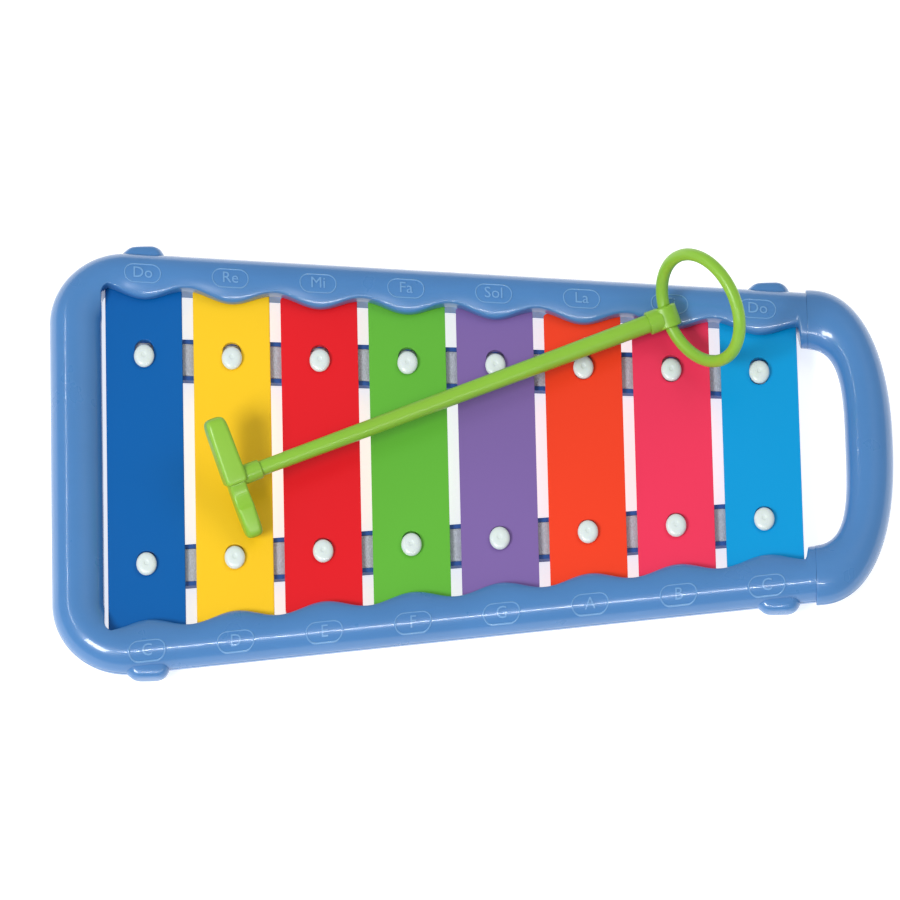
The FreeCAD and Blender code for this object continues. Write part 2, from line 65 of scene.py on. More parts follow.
BARS = ("bar_1_c", "bar_2_d", "bar_3_e", "bar_4_f", "bar_5_g", "bar_6_a", "bar_7_b", "bar_8_c")
FIRST_BAR_X = middle(BARS[0]).x
BAR_PITCH = (middle(BARS[-1]).x - FIRST_BAR_X) / (len(BARS) - 1)
BAR_HALF = (node_box(BARS[0])[1].x - node_box(BARS[0])[0].x) / 2

# ---- tube ----
AXIS_Z = node_box("frame_upper")[0].z            # height of the tube's axis, and of the parting line
TUBE_R = node_box("frame_upper")[1].z - AXIS_Z
LEFT_X = node_box("frame_upper")[0].x + TUBE_R   # centreline of the left run
SEAM_X = node_box("handle_upper")[0].x           # where the handle meets the frame
GRIP_X = node_box("handle_upper")[1].x           # outermost point of the handle
END_START = middle(BARS[-1]).x + BAR_HALF + 0.1  # where the rails widen into the handle's end
END_LONG = 1.8
RAIL_Y = 78.6                                    # half distance between the rails at the first bar
RAIL_TAPER = 0.0879                              # fall of that half distance, per mm along X
CORNER_R = 20.0                                  # centreline radius of the left corners
PARTING = 0.1                                    # half the gap between the upper and the lower shell
PARTING_ROUND = ((0.25, 0.0), (0.02, 0.22))      # rounding of the shells' outer edges there: in, and up
ARC_STEPS = 16                                   # steps in a quarter of the tube's section
THIN = 0.02                                      # least distance between two walls of a section

# ---- opening, lips and windows ----
OPENING_LEFT = -144.9                            # inner face of the ledge along the left run
OPENING_IN = 5.8                                 # from the tube's centreline in to the long sides
OPENING_R = 4.7
RECESS = 2.0                                     # how much further out its long sides stand under the lips
LIP_Z = 11.5                                     # underside of the lips
LIP_REACH = 10.3                                 # how far in from the centreline a lobe reaches
LIP_VALLEY = 5.9                                 # and a valley between two lobes
LIP_SPREAD = 3.1                                 # how much flatter the tube's shoulder is over a lobe
LIP_ROUND = 0.5
LIP_TUCK = 0.35
WINDOW_HALF = BAR_HALF + 0.75                    # the windows are the slots that the bars' ends lie in
WINDOW_FADE = 0.3
WINDOW_Z = 7.8                                   # sill of the windows
POCKET = 0.5                                     # from the tube's centreline in to the windows' outer wall

# ---- handle ----
HANDLE_OUT_Y = node_box("handle_upper")[1].y     # outer half width of the handle at the seam
HANDLE_OUT_N = 2.3                               # squareness of the outer curve
HAND_X = 128.5                                   # centre of the hand opening's curve
HAND_DEEP = 18.3
HAND_Y = 42.3
HAND_N = 3.4
HAND_TURN = 84.6                                 # direction of its edge at the seam, in degrees
HANDLE_STEPS = 72
HANDLE_CROWD = 1.6                               # power that turns the sections less at the grip's middle
HANDLE_EDGE = ((0.975, 0.0), (0.998, 0.22))      # rounding of the parting edges: share of the reach, and up
# rounding at the seam: how much smaller a section is, and how far from the seam
HANDLE_ENDS = ((0.16, 0.02), (0.04, 0.08), (0.0, 0.2))

# ---- screws ----
SCREW_BORE_R = 3.2
SCREW_SEAT_Z = 2.6
SCREW_APART = 8.0                                # two screws are always further apart than this
BORE_BELOW = 4.0                                 # how far below the floor the bores' cutters start


def rail_y(x):
    """Half distance between the rails' centrelines at x."""
    return RAIL_Y - RAIL_TAPER * (x - FIRST_BAR_X)


def bar_x(index):
    return FIRST_BAR_X + BAR_PITCH * index


END_SHOULDER = rail_y(SEAM_X) - HAND_Y           # half width of a rail where it meets the handle


def smooth_step(value):
    """From 0 to 1 with a soft start and a soft end."""
    value = max(0.0, min(1.0, value))
    return value * value * (3 - 2 * value)


# ---------------------------------------------------------------- materials

def rgb(red, green, blue):
    """A display colour, 0 to 255, as the linear colour that shaders take."""
    linear = []
    for part in (red, green, blue):
        share = part / 255
        linear.append(share / 12.92 if share <= 0.04045 else ((share + 0.055) / 1.055) ** 2.4)
    return (*linear, 1.0)


def scaled(colour, factor):
    """A lighter or a darker tone of a colour."""
    return (*(min(1.0, part * factor) for part in colour[:3]), 1.0)


class Shader:
    """A node material under construction, in object space."""

    def __init__(self, name):
        self.material = bpy.data.materials.new(name)
        self.material.use_nodes = True
        self.nodes = self.material.node_tree.nodes
        self.links = self.material.node_tree.links
        self.surface = self.nodes["Principled BSDF"]
        self.place = self.nodes.new("ShaderNodeTexCoord").outputs["Object"]
        self.normal = None

    def stretch(self, scale):
        """The place, scaled along each axis."""
        mapping = self.nodes.new("ShaderNodeMapping")
        mapping.inputs["Scale"].default_value = scale
        self.links.new(self.place, mapping.inputs["Vector"])
        return mapping.outputs["Vector"]

    def noise(self, scale, detail=3.0, rough=0.5, vector=None):
        texture = self.nodes.new("ShaderNodeTexNoise")
        texture.inputs["Scale"].default_value = scale
        texture.inputs["Detail"].default_value = detail
        texture.inputs["Roughness"].default_value = rough
        self.links.new(vector or self.place, texture.inputs["Vector"])
        return texture.outputs["Fac"]

    def grain(self, stretch, detail=3.0, rough=0.6):
        """Noise that is drawn out: the larger the number for an axis, the finer it is that way."""
        return self.noise(1, detail, rough, self.stretch(stretch))

    def cells(self, scale):
        texture = self.nodes.new("ShaderNodeTexVoronoi")
        texture.inputs["Scale"].default_value = scale
        self.links.new(self.place, texture.inputs["Vector"])
        return texture.outputs["Distance"]

    def spread(self, value, low_in, high_in, low, high):
        """A softly eased range of a value, stretched over another range."""
        ranger = self.nodes.new("ShaderNodeMapRange")
        ranger.interpolation_type = "SMOOTHSTEP"
        ranger.inputs["From Min"].default_value = low_in
        ranger.inputs["From Max"].default_value = high_in
        ranger.inputs["To Min"].default_value = low
        ranger.inputs["To Max"].default_value = high
        self.links.new(value, ranger.inputs["Value"])
        return ranger.outputs["Result"]

    def cloud(self, scale, detail, low, high, low_in=0.2, high_in=0.8):
        """Soft patches that run from one value to another."""
        return self.spread(self.noise(scale, detail), low_in, high_in, low, high)

    def total(self, first, second):
        adder = self.nodes.new("ShaderNodeMath")
        adder.operation = "ADD"
        self.links.new(first, adder.inputs[0])
        self.links.new(second, adder.inputs[1])
        return adder.outputs["Value"]

    def mix(self, factor, first, second):
        """A blend of two colours, each a tuple or a socket."""
        mixer = self.nodes.new("ShaderNodeMix")
        mixer.data_type = "RGBA"
        self.links.new(factor, mixer.inputs["Factor"])
        for socket, value in (("A", first), ("B", second)):
            target = [entry for entry in mixer.inputs if entry.name == socket and entry.type == "RGBA"][0]
            if isinstance(value, tuple):
                target.default_value = value
            else:
                self.links.new(value, target)
        return [entry for entry in mixer.outputs if entry.type == "RGBA"][0]

    def bump(self, height, distance, strength):
        """Relief, in metres, on top of the relief already there."""
        bump = self.nodes.new("ShaderNodeBump")
        bump.inputs["Strength"].default_value = strength
        bump.inputs["Distance"].default_value = distance
        self.links.new(height, bump.inputs["Height"])
        if self.normal:
            self.links.new(self.normal, bump.inputs["Normal"])
        self.normal = bump.outputs["Normal"]

    def done(self, **sockets):
        """Set or link the surface's sockets, and give the material."""
        for name, value in sockets.items():
            socket = self.surface.inputs[name.replace("_", " ")]
            if isinstance(value, (int, float, tuple)):
                socket.default_value = value
            else:
                self.links.new(value, socket)
        if self.normal:
            self.links.new(self.normal, self.surface.inputs["Normal"])
        return self.material


def plastic(name, colour, roughness, flow=0.05, scatter=0.0, coat=0.0):
    """Moulded plastic: faint flow marks, a fine moulded grain, handling scuffs and slight sink waviness."""
    shader = Shader(name)
    base = shader.mix(shader.cloud(22, 3, 0, 1), scaled(colour, 1 - flow), scaled(colour, 1 + flow))
    streaks = shader.grain((40, 420, 420))
    base = shader.mix(shader.spread(streaks, 0.3, 0.9, 0, 0.1), base, scaled(colour, 1.2))
    scuffs = shader.grain((700, 120, 300), 5, 0.65)
    rough = shader.total(shader.cloud(60, 3, roughness - 0.04, roughness + 0.05),
                         shader.spread(scuffs, 0.55, 0.85, 0, 0.1))
    shader.bump(shader.noise(30, 1), 0.0004, 0.04)
    shader.bump(shader.noise(1500, 1), 0.00002, 0.1)
    return shader.done(Base_Color=base, Roughness=rough, IOR=1.5, Coat_Weight=coat, Coat_Roughness=0.07,
                       Subsurface_Weight=scatter, Subsurface_Scale=0.003, Subsurface_Radius=(1.0, 1.0, 0.6))


def enamel(name, colour):
    """Baked enamel on steel: a soft orange peel, cloudy gloss, hair scratches along the bar and dust."""
    shader = Shader(name)
    base = shader.mix(shader.cloud(9, 2, 0, 1), scaled(colour, 0.965), scaled(colour, 1.035))
    dust = shader.cloud(2400, 1, 0, 0.22, 0.74, 0.84)
    base = shader.mix(dust, base, scaled(colour, 1.5))
    scratches = shader.grain((5200, 60, 500))
    rough = shader.total(shader.cloud(30, 2, 0.3, 0.38), shader.spread(scratches, 0.62, 0.85, 0, 0.12))
    shader.bump(shader.noise(520, 1), 0.00003, 0.12)
    return shader.done(Base_Color=base, Roughness=rough, IOR=1.5, Specular_IOR_Level=0.22)


def felt_material(name, colour):
    """Pressed felt: matted fibres in several greys, tufts and a fuzzy sheen."""
    shader = Shader(name)
    fibres = shader.grain((2600, 900, 1800), 6, 0.75)
    base = shader.mix(shader.spread(fibres, 0.35, 0.65, 0, 1), scaled(colour, 0.78), scaled(colour, 1.2))
    tufts = shader.spread(shader.cells(700), 0.1, 0.6, 0, 0.35)
    base = shader.mix(tufts, base, scaled(colour, 0.85))
    shader.bump(fibres, 0.0004, 0.8)
    shader.bump(shader.cells(900), 0.0003, 0.5)
    return shader.done(Base_Color=base, Roughness=0.95, Sheen_Weight=0.35, Sheen_Roughness=0.5)


def steel_material(name):
    """Zinc-plated steel: cloudy plating with turning marks."""
    shader = Shader(name)
    base = shader.mix(shader.cloud(500, 4, 0, 1, 0.3, 0.7), rgb(150, 152, 158), rgb(205, 206, 210))
    rough = shader.cloud(900, 4, 0.28, 0.46, 0.3, 0.7)
    shader.bump(shader.grain((500, 500, 6000)), 0.00003, 0.4)
    return shader.done(Base_Color=base, Roughness=rough, Metallic=1.0)


FRAME_BLUE = rgb(70, 129, 190)
# the frame's blue made lighter for the raised tags and letters: a painted highlight, as if their edges catch
# the light
TAG_BLUE_PAINTED_HIGHLIGHT = rgb(112, 164, 214)
CARRIER_BLUE = rgb(36, 84, 160)
FELT_GREY = rgb(186, 192, 204)
PEG_WHITE = rgb(222, 234, 232)
MALLET_GREEN = rgb(142, 196, 58)
BAR_COLOURS = (rgb(4, 96, 172), rgb(255, 204, 36), rgb(230, 28, 38), rgb(100, 184, 60),
               rgb(128, 102, 168), rgb(246, 66, 34), rgb(242, 56, 92), rgb(0, 156, 220))
BAR_SLOTS = ("bar_dark_blue", "bar_yellow", "bar_red", "bar_green", "bar_purple", "bar_orange", "bar_pink",
             "bar_sky_blue")

blue = plastic("frame_blue_plastic", FRAME_BLUE, 0.3, scatter=0.04, coat=0.6)
# the frame's plastic in the lighter tag blue: painted highlight on the raised tags and letters
tag_blue_painted_highlight = plastic("tag_blue_painted_highlight_plastic", TAG_BLUE_PAINTED_HIGHLIGHT, 0.3, coat=0.6)
carrier_blue = plastic("carrier_blue_plastic", CARRIER_BLUE, 0.38)
grey_felt = felt_material("grey_felt", FELT_GREY)
white = plastic("peg_white_plastic", PEG_WHITE, 0.26, flow=0.02, scatter=0.1)
green = plastic("mallet_green_plastic", MALLET_GREEN, 0.34, scatter=0.2)
steel = steel_material("zinc_steel")


# ---------------------------------------------------------------- mesh helpers

def shaded(mesh, sharp=40):
    """Smooth shading, apart from edges sharper than this many degrees."""
    mesh.validate()
    mesh.shade_smooth()
    mesh.set_sharp_from_angle(angle=math.radians(sharp))


def add_piece(name, mesh, material, body, slot, *nodes, sharp=40):
    """Make a piece from a mesh in metres, give it its finish and let it ride on its body."""
    mesh.materials.clear()
    mesh.materials.append(material)
    shaded(mesh, sharp)
    piece = bpy.data.objects.new(name, mesh)
    bpy.context.scene.collection.objects.link(piece)
    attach(piece, body)
    if nodes:
        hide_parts(*nodes)
    return piece


def finished_mesh(work, name, scale=1.0):
    """The bmesh as a mesh, with its normals turned outward."""
    bmesh.ops.recalc_face_normals(work, faces=work.faces[:])
    bmesh.ops.scale(work, vec=(scale, scale, scale), verts=work.verts[:])
    mesh = bpy.data.meshes.new(name)
    work.to_mesh(mesh)
    work.free()
    return mesh


def new_mesh(name, build):
    """A mesh from a bmesh that a function fills in millimetres."""
    work = bmesh.new()
    build(work)
    return finished_mesh(work, name, MM)


def skin(work, rings, loop=False):
    """Quads between rings of the same number of points. The ends are closed unless the rings form a loop."""
    rows = [[work.verts.new(point) for point in ring] for ring in rings]
    count = len(rows[0])
    pairs = list(zip(rows, rows[1:]))
    if loop:
        pairs.append((rows[-1], rows[0]))
    for first, second in pairs:
        for k in range(count):
            n = (k + 1) % count
            work.faces.new((first[k], first[n], second[n], second[k]))
    if not loop:
        work.faces.new(rows[0])
        work.faces.new(rows[-1])


def skinned(name, rings):
    return new_mesh(name, lambda work: skin(work, rings))


def mirrored(ring):
    """The same ring on the other side of the object's length."""
    return [Vector((p.x, -p.y, p.z)) for p in ring]


def softened_mesh(name, node, width, segments=2, angle=35):
    """A copy of a CAD node's mesh whose sharp edges are rounded."""
    work = bmesh.new()
    work.from_mesh(frame["nodes"][node].data)
    bmesh.ops.remove_doubles(work, verts=work.verts[:], dist=0.002 * MM)
    bmesh.ops.dissolve_limit(work, angle_limit=math.radians(1.0), verts=work.verts[:], edges=work.edges[:])
    sharp = [edge for edge in work.edges
             if edge.is_manifold and edge.calc_face_angle(0) > math.radians(angle)]
    bmesh.ops.bevel(work, geom=sharp, offset=width * MM, segments=segments, profile=0.5,
                    affect="EDGES", clamp_overlap=True)
    bmesh.ops.triangulate(work, faces=[face for face in work.faces if len(face.verts) > 4])
    return finished_mesh(work, name)


def apply_modifiers(piece):
    """Put what the modifiers make into the piece's own mesh."""
    graph = bpy.context.evaluated_depsgraph_get()
    baked = bpy.data.meshes.new_from_object(piece.evaluated_get(graph))
    piece.modifiers.clear()
    piece.data = baked


def weigh_normals(piece):
    """Keep large flat faces flat beside their rounded edges."""
    weight = piece.modifiers.new("flat faces", "WEIGHTED_NORMAL")
    weight.keep_sharp = True
    weight.weight = 100


# ---------------------------------------------------------------- frame

def lobe(x):
    """How far the lip's edge stands in from the tube's centreline: most at a bar's middle."""
    if not bar_x(0) - BAR_PITCH / 2 <= x <= bar_x(len(BARS) - 1) + BAR_PITCH / 2:
        return 0.0
    swing = math.cos(2 * math.pi * (x - FIRST_BAR_X) / BAR_PITCH)
    return (LIP_REACH + LIP_VALLEY) / 2 + (LIP_REACH - LIP_VALLEY) / 2 * swing


def in_opening(x, y, recess=0.0):
    """Whether a place in the back half is free, with the long side this much further out."""
    across = x - OPENING_LEFT
    down = (rail_y(x) - y) / math.hypot(1, RAIL_TAPER) - OPENING_IN + recess
    if across < OPENING_R and down < OPENING_R:
        return math.hypot(OPENING_R - across, OPENING_R - down) < OPENING_R
    return across > 0 and down > 0


def edge_distance(point, inward, free, step=0.1, start=2.0, stop=14.0, halvings=10):
    """How far inward from a point of the centreline the material ends, or the tube's radius."""
    reach = start
    while reach < stop:
        x, y = point + inward * reach
        if free(x, y):
            low = reach - step
            for _ in range(halvings):
                half = (low + reach) / 2
                if free(*(point + inward * half)):
                    reach = half
                else:
                    low = half
            return reach
        reach += step
    return TUBE_R


def station(point, inward):
    """The tube's section at a place: how far in its shoulder, lip, wall and pocket reach, and whether a
    window is there, from 0 to 1."""
    x, y = point
    edge = edge_distance(point, inward, in_opening)
    wall = edge_distance(point, inward, lambda u, v: in_opening(u, v, RECESS))
    lip = edge_distance(point, inward, lambda u, v: in_opening(u, v) and rail_y(u) - v > lobe(u))
    bulge = max(0.0, min(1.0, (lip - edge - 0.1) / (LIP_REACH - LIP_VALLEY)))
    shoulder = TUBE_R + LIP_SPREAD * bulge + (OPENING_LEFT - LEFT_X - TUBE_R) * smooth_step(inward.x)
    turn = smooth_step((x - END_START) / END_LONG)
    if turn > 0:
        shoulder += (END_SHOULDER - shoulder) * turn
        wall += (shoulder - wall) * turn
        lip += (shoulder - lip) * turn
    nearest = min(abs(x - bar_x(i)) for i in range(len(BARS)))
    in_rail = inward.y < -0.9
    window = 1 - smooth_step((nearest - WINDOW_HALF) / WINDOW_FADE) if in_rail and turn == 0 else 0.0
    lip = min(lip, shoulder * 0.995)
    wall = min(wall, lip - THIN)
    pocket = min(wall - THIN, POCKET + (wall - POCKET) * (1 - window))
    return {"shoulder": shoulder, "lip": lip, "wall": wall, "pocket": pocket, "window": window}


def upper_section(s):
    """The upper shell's outline as (distance inward, height), from the outer parting line over the top."""
    outline = [(in_by - TUBE_R, AXIS_Z + PARTING + up_by) for in_by, up_by in PARTING_ROUND]
    for k in range(1, ARC_STEPS + 1):
        turn = math.pi - math.pi / 2 * k / ARC_STEPS
        outline.append((TUBE_R * math.cos(turn), AXIS_Z + TUBE_R * math.sin(turn)))
    last = math.acos(s["lip"] / s["shoulder"])
    rise = TUBE_R * math.sin(last)
    round_off = min(LIP_ROUND, 0.3 * rise)
    before = last + 0.9 * round_off / TUBE_R
    for k in range(1, ARC_STEPS + 1):
        turn = math.pi / 2 + (before - math.pi / 2) * k / ARC_STEPS
        outline.append((s["shoulder"] * math.cos(turn), AXIS_Z + TUBE_R * math.sin(turn)))
    edge_z = AXIS_Z + rise
    under = min(LIP_Z, AXIS_Z + 0.48 * rise)
    tuck = min(LIP_TUCK, 0.5 * (s["lip"] - s["wall"]))
    outline += [(s["lip"] - 0.28 * round_off, edge_z - 0.1 * round_off),
                (s["lip"] - 0.05 * round_off, edge_z - 0.45 * round_off),
                (s["lip"], edge_z - round_off),
                (s["lip"], under + min(LIP_TUCK, 0.2 * rise)),
                (s["lip"] - 0.3 * tuck, under + min(0.1, 0.05 * rise)),
                (s["lip"] - tuck, under),
                (s["wall"], under - THIN / 2),
                (s["pocket"], under - THIN),
                (s["pocket"], AXIS_Z + PARTING)]
    return outline


def lower_section(s):
    """The lower shell's outline, from the outer parting line down round the bottom to the inner wall."""
    outline = [(in_by - TUBE_R, AXIS_Z - PARTING - up_by) for in_by, up_by in PARTING_ROUND]
    for k in range(1, ARC_STEPS + 1):
        turn = math.pi + math.pi / 2 * k / ARC_STEPS
        outline.append((TUBE_R * math.cos(turn), max(0.0, AXIS_Z + TUBE_R * math.sin(turn))))
    last = math.acos(s["wall"] / s["shoulder"])
    for k in range(1, ARC_STEPS + 1):
        turn = math.pi / 2 + (last - math.pi / 2) * k / ARC_STEPS
        outline.append((s["shoulder"] * math.cos(turn), max(0.0, AXIS_Z - TUBE_R * math.sin(turn))))
    sill = (AXIS_Z - PARTING - THIN) * (1 - s["window"]) + WINDOW_Z * s["window"]
    outline += [(s["wall"], sill), (s["pocket"], sill + THIN / 2), (s["pocket"], AXIS_Z - PARTING)]
    return outline


def rail_stations(stop):
    """The sections' places along a rail, from the seam: every millimetre, and closer at the windows' ends
    and where the rail widens."""
    xs = [SEAM_X - 0.02, SEAM_X - 0.3]
    xs += [END_START + END_LONG * k / 12 for k in range(12, -1, -1)]
    x = END_START - 1
    while x > stop + 0.5:
        xs.append(x)
        x -= 1.0
    for i in range(len(BARS)):
        for side in (-1, 1):
            edge = bar_x(i) + side * WINDOW_HALF
            xs += [edge + side * part for part in (-0.05, 0.1, 0.2, 0.35)]
    xs = sorted((x for x in xs if x > stop + 0.3), reverse=True)
    return [x for x, nearer in zip(xs, [math.inf] + xs) if nearer - x > 0.03]


def half_path(corner_steps=44, left_steps=12, squaring=3.0):
    """Places along the back half of the frame's centreline, from the seam to the middle of the left run,
    each with its direction inward. Near the seam the sections turn square to it."""
    along = Vector((-1, RAIL_TAPER)).normalized()
    inward = Vector((-along.y, along.x))
    vertex = Vector((LEFT_X, rail_y(LEFT_X)))
    turn = math.pi / 2 + math.atan(RAIL_TAPER)
    cut = CORNER_R * math.tan(turn / 2)
    corner_start = vertex - along * cut
    square = Vector((0, -1))
    places = []
    for x in rail_stations(corner_start.x):
        share = smooth_step((x - END_START + squaring) / squaring)
        places.append((Vector((x, rail_y(x))), inward.lerp(square, share).normalized()))
    centre = corner_start + inward * CORNER_R
    for k in range(corner_steps + 1):
        out = Matrix.Rotation(turn * k / corner_steps, 2) @ -inward
        places.append((centre + out * CORNER_R, -out))
    run = vertex.y - cut
    for k in range(1, left_steps + 1):
        places.append((Vector((LEFT_X, run * (1 - k / left_steps))), Vector((1, 0))))
    return places


def frame_rings(section):
    """The rings of one shell round the whole frame."""
    back = []
    for point, inward in half_path():
        outline = section(station(point, inward))
        back.append([Vector((*(point + inward * t), z)) for t, z in outline])
    return back + [mirrored(ring) for ring in back[-2::-1]]


def drill(piece, places):
    """Counterbores for screws from below."""
    def holes(work):
        for x, y in places:
            spot = Matrix.Translation((x, y, (SCREW_SEAT_Z - BORE_BELOW) / 2))
            bmesh.ops.create_cone(work, cap_ends=True, segments=40, radius1=SCREW_BORE_R,
                                  radius2=SCREW_BORE_R, depth=SCREW_SEAT_Z + BORE_BELOW, matrix=spot)
    cutter = bpy.data.objects.new("cutter", new_mesh("cutter", holes))
    bpy.context.scene.collection.objects.link(cutter)
    cut = piece.modifiers.new("holes", "BOOLEAN")
    cut.object = cutter
    cut.solver = "EXACT"
    apply_modifiers(piece)
    bpy.data.objects.remove(cutter)
    shaded(piece.data)


def screw_spots():
    """The screws' places, read from the separate solids of the screws' node."""
    mesh = frame["nodes"]["frame_screws"].data
    spots = []
    for vertex in mesh.vertices:
        place = vertex.co / MM
        if all(math.hypot(place.x - x, place.y - y) > SCREW_APART for x, y in spots):
            near = [v.co / MM for v in mesh.vertices if (v.co / MM - place).xy.length < SCREW_APART]
            low = Vector((min(p.x for p in near), min(p.y for p in near)))
            high = Vector((max(p.x for p in near), max(p.y for p in near)))
            spots.append(tuple((low + high) / 2))
    return spots


def build_frame():
    for name, section, node in (("frame_top", upper_section, "frame_upper"),
                                ("frame_bottom", lower_section, "frame_lower")):
        mesh = skinned(name, frame_rings(section))
        piece = add_piece(name, mesh, blue, "frame", "frame_blue", node, sharp=50)
        if section is lower_section:
            drill(piece, [spot for spot in screw_spots() if spot[0] < SEAM_X])


# ---------------------------------------------------------------- handle

def squared_point(half_x, half_y, power, normal):
    """The point of a squared ellipse whose outward normal has this direction, in degrees from +X."""
    nx = abs(math.cos(math.radians(normal)))
    ny = abs(math.sin(math.radians(normal)))
    k = power / (power - 1)
    size = ((half_x * nx) ** k + (half_y * ny) ** k) ** (1 / power)
    x = half_x * (half_x * nx) ** (1 / (power - 1)) / size
    y = half_y * (half_y * ny) ** (1 / (power - 1)) / size
    return Vector((x, y if normal >= 0 else -y, 0))


def handle_ring(normal, up, shrink=0.0, push=0.0):
    """One half section of the handle, between its outer and its inner curve."""
    out = squared_point(GRIP_X - SEAM_X, HANDLE_OUT_Y, HANDLE_OUT_N, normal)
    out.x += SEAM_X + push
    hand = squared_point(HAND_DEEP, HAND_Y, HAND_N, normal * HAND_TURN / 90)
    hand.x = SEAM_X + push if abs(normal) == 90 else hand.x + HAND_X
    centre = (out + hand) / 2 + Vector((0, 0, AXIS_Z))
    across = (out - hand).normalized() * ((out - hand).length / 2 - shrink)
    edges = [(share, Vector((0, 0, up * (PARTING + up_by)))) for share, up_by in HANDLE_EDGE]
    ring = [centre + across * share + lift for share, lift in edges]
    steps = 2 * ARC_STEPS
    for k in range(1, steps):
        turn = math.pi * k / steps
        height = up * (TUBE_R - shrink) * math.sin(turn)
        point = centre + across * math.cos(turn) + Vector((0, 0, height))
        point.z = max(point.z, 0.0)
        ring.append(point)
    return ring + [centre - across * share + lift for share, lift in reversed(edges)]


def handle_rings(up):
    """The rings of one shell of the handle, from its back end round the grip to its front end."""
    end = [handle_ring(90, up, shrink, push) for shrink, push in HANDLE_ENDS]
    body = []
    for k in range(-HANDLE_STEPS + 1, HANDLE_STEPS):
        share = -k / HANDLE_STEPS
        normal = math.copysign(90 * abs(share) ** HANDLE_CROWD, share)
        ring = handle_ring(normal, up)
        if min(p.x for p in ring) > SEAM_X + 0.6:
            body.append(ring)
    return end + body + [mirrored(ring) for ring in reversed(end)]


def build_handle():
    for name, node, up in (("handle_top", "handle_upper", 1), ("handle_bottom", "handle_lower", -1)):
        piece = add_piece(name, skinned(name, handle_rings(up)), blue, "frame", "frame_blue", node, sharp=50)
        if up < 0:
            drill(piece, [spot for spot in screw_spots() if spot[0] > SEAM_X])


# ---------------------------------------------------------------- note tags on the rails

TAG_LONG = 14.2
TAG_WIDE = 7.4
TAG_LINE = 0.55
TAG_PROUD = 0.3
# the section of a tag's line, as shares of half its width and of its height; it starts inside the rail
TAG_PROFILE = ((-1, -0.25), (-0.8, 0.45), (-0.35, 0.95), (0.35, 0.95), (0.8, 0.45), (1, -0.25))
TAG_STEPS = 20
FRONT_TAG_IN = -3.6                              # how far in from the rail's centreline a tag's middle is
BACK_TAG_IN = 1.6
FRONT_NOTES = ("C", "D", "E", "F", "G", "A", "B", "C")
BACK_NOTES = ("Do", "Re", "Mi", "Fa", "Sol", "La", "Ti", "Do")
FONT_SIZE = 6.21
LETTER_SUNK = 0.2                                # how far the letters' undersides lie inside the rail
LETTER_EDGE = 0.9                                # longer edges are divided, so that letters can curve


def on_rail(x, inward, proud, side):
    """A point on a rail's top, or a little proud of it; side is 1 at the back and -1 at the front."""
    shoulder = TUBE_R
    if inward > 0:
        bulge = (lobe(x) - LIP_VALLEY) / (LIP_REACH - LIP_VALLEY)
        shoulder += LIP_SPREAD * bulge
    share = inward / shoulder
    lift = math.sqrt(1 - share * share)
    normal = Vector((0, -side * share / shoulder, lift / TUBE_R)).normalized()
    return Vector((x, side * (rail_y(x) - inward), AXIS_Z + TUBE_R * lift)) + normal * proud


def tag_rim(work, x, inward, side):
    """A raised stadium-shaped line that follows the rail's surface."""
    half_r = TAG_WIDE / 2
    straight = TAG_LONG / 2 - half_r
    path = []
    for end in (1, -1):
        for k in range(TAG_STEPS + 1):
            turn = end * math.pi / 2 - math.pi * k / TAG_STEPS
            path.append((end * straight + half_r * math.cos(turn), half_r * math.sin(turn), turn))
    rings = []
    for u, v, turn in path:
        ring = []
        for offset, proud in TAG_PROFILE:
            away = offset * TAG_LINE / 2
            along = x + u + away * math.cos(turn)
            across = inward - (v + away * math.sin(turn)) * side
            ring.append(on_rail(along, across, proud * TAG_PROUD, side))
        rings.append(ring)
    skin(work, rings, True)


def letters(work, text, x, inward, side):
    """Raised letters that follow the rail's surface and read from the front."""
    words = bpy.data.curves.new("letters", "FONT")
    words.body = text
    words.size = FONT_SIZE
    words.align_x = "CENTER"
    words.align_y = "CENTER"
    words.extrude = 1.0
    words.resolution_u = 3
    holder = bpy.data.objects.new("letters", words)
    bpy.context.scene.collection.objects.link(holder)
    bpy.context.view_layer.update()
    mesh = bpy.data.meshes.new_from_object(holder.evaluated_get(bpy.context.evaluated_depsgraph_get()))
    fresh = bmesh.new()
    fresh.from_mesh(mesh)
    bmesh.ops.remove_doubles(fresh, verts=fresh.verts[:], dist=0.0005)
    bmesh.ops.triangulate(fresh, faces=fresh.faces[:])
    for _ in range(2):
        long_edges = [edge for edge in fresh.edges if edge.calc_length() > LETTER_EDGE]
        bmesh.ops.subdivide_edges(fresh, edges=long_edges, cuts=1)
        bmesh.ops.triangulate(fresh, faces=fresh.faces[:])
    for vertex in fresh.verts:
        u, v, high = vertex.co
        proud = TAG_PROUD if high > 0 else -LETTER_SUNK
        vertex.co = on_rail(x + u, inward - v * side, proud, side)
    fresh.to_mesh(mesh)
    work.from_mesh(mesh)
    fresh.free()
    bpy.data.objects.remove(holder)
    bpy.data.curves.remove(words)


def build_tags():
    for name, side, inward, notes in (("front", -1, FRONT_TAG_IN, FRONT_NOTES),
                                      ("back", 1, BACK_TAG_IN, BACK_NOTES)):
        def fill(work, side=side, inward=inward, notes=notes):
            for i, note in enumerate(notes):
                tag_rim(work, bar_x(i), inward, side)
                letters(work, note, bar_x(i), inward, side)
        # the tags and letters take the lighter blue, a painted highlight, not the frame's own blue
        add_piece("note_tags_" + name, new_mesh("note_tags_" + name, fill), tag_blue_painted_highlight, "frame",
                  "frame_blue")


# ---------------------------------------------------------------- bars, carrier and felt

def build_bars():
    for i, node in enumerate(BARS):
        material = enamel(BAR_SLOTS[i] + "_enamel", BAR_COLOURS[i])
        name = node + "_enamelled"
        piece = add_piece(name, softened_mesh(name, node, 0.4, 3), material, "bar_%d" % (i + 1),
                          BAR_SLOTS[i], node, sharp=60)
        weigh_normals(piece)


